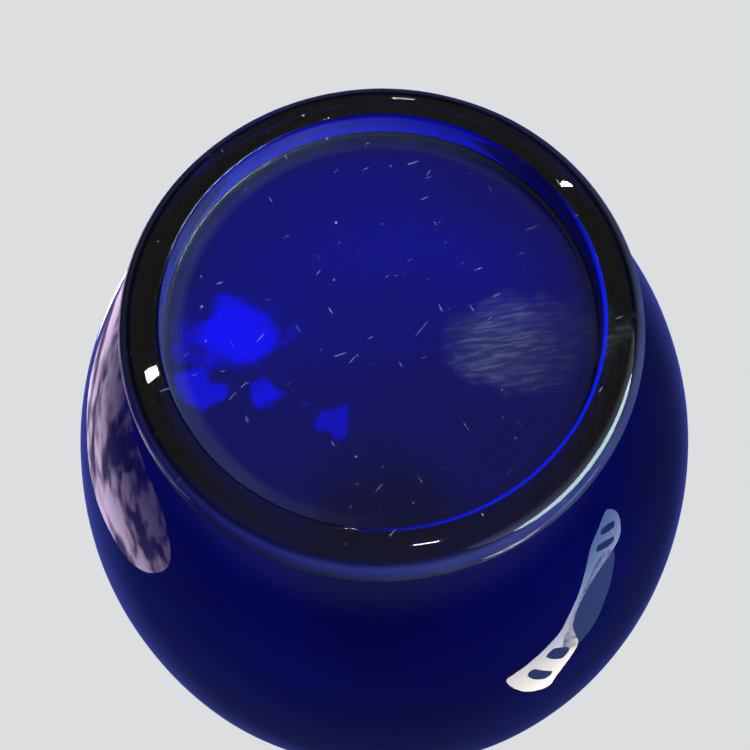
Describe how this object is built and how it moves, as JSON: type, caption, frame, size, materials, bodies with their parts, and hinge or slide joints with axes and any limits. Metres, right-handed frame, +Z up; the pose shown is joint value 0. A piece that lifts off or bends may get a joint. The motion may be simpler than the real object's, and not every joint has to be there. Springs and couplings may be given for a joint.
{
  "type": "swing top bottle",
  "caption": "Round-bellied cobalt glass bottle with a wire swing closure: collar, lever, bail, porcelain stopper and rubber gasket.",
  "frame": {"origin": "centre of the foot ring's bearing face, on the bottle's axis", "axes": "+Z up through the mouth; -Y towards the lever's bow (front); X along the hinge axes"},
  "size_m": [0.12, 0.12, 0.2234],
  "materials": {
    "cobalt_glass": "glossy, blown",
    "steel_wire": "bright drawn wire",
    "porcelain": "glazed white",
    "gasket_rubber": "matt red rubber"
  },
  "bodies": {
    "bottle": {"glass_bottle": "cobalt_glass", "neck_collar": "steel_wire"},
    "lever": {"lever_wire": "steel_wire"},
    "bail": {"bail_wire": "steel_wire"},
    "closure": {"stopper": "porcelain", "gasket": "gasket_rubber"}
  },
  "joints": [
    {"name": "lever_swing", "type": "hinge", "parent": "bottle", "child": "lever", "pos_m": [0, 0, 0.18078], "axis": [-1, 0, 0], "range_deg": [0, 120]},
    {"name": "bail_swing", "type": "hinge", "parent": "lever", "child": "bail", "pos_m": [0, 0.00094, 0.17183], "axis": [-1, 0, 0], "range_deg": [-94, 0]},
    {"name": "stopper_tilt", "type": "hinge", "parent": "bail", "child": "closure", "pos_m": [0, 0, 0.2144], "axis": [-1, 0, 0], "range_deg": [-6, 0]}
  ],
  "couplings": [
    {"joint": "bail_swing", "follows": "lever_swing", "ratio": -0.78},
    {"joint": "stopper_tilt", "follows": "lever_swing", "ratio": -0.05}
  ]
}
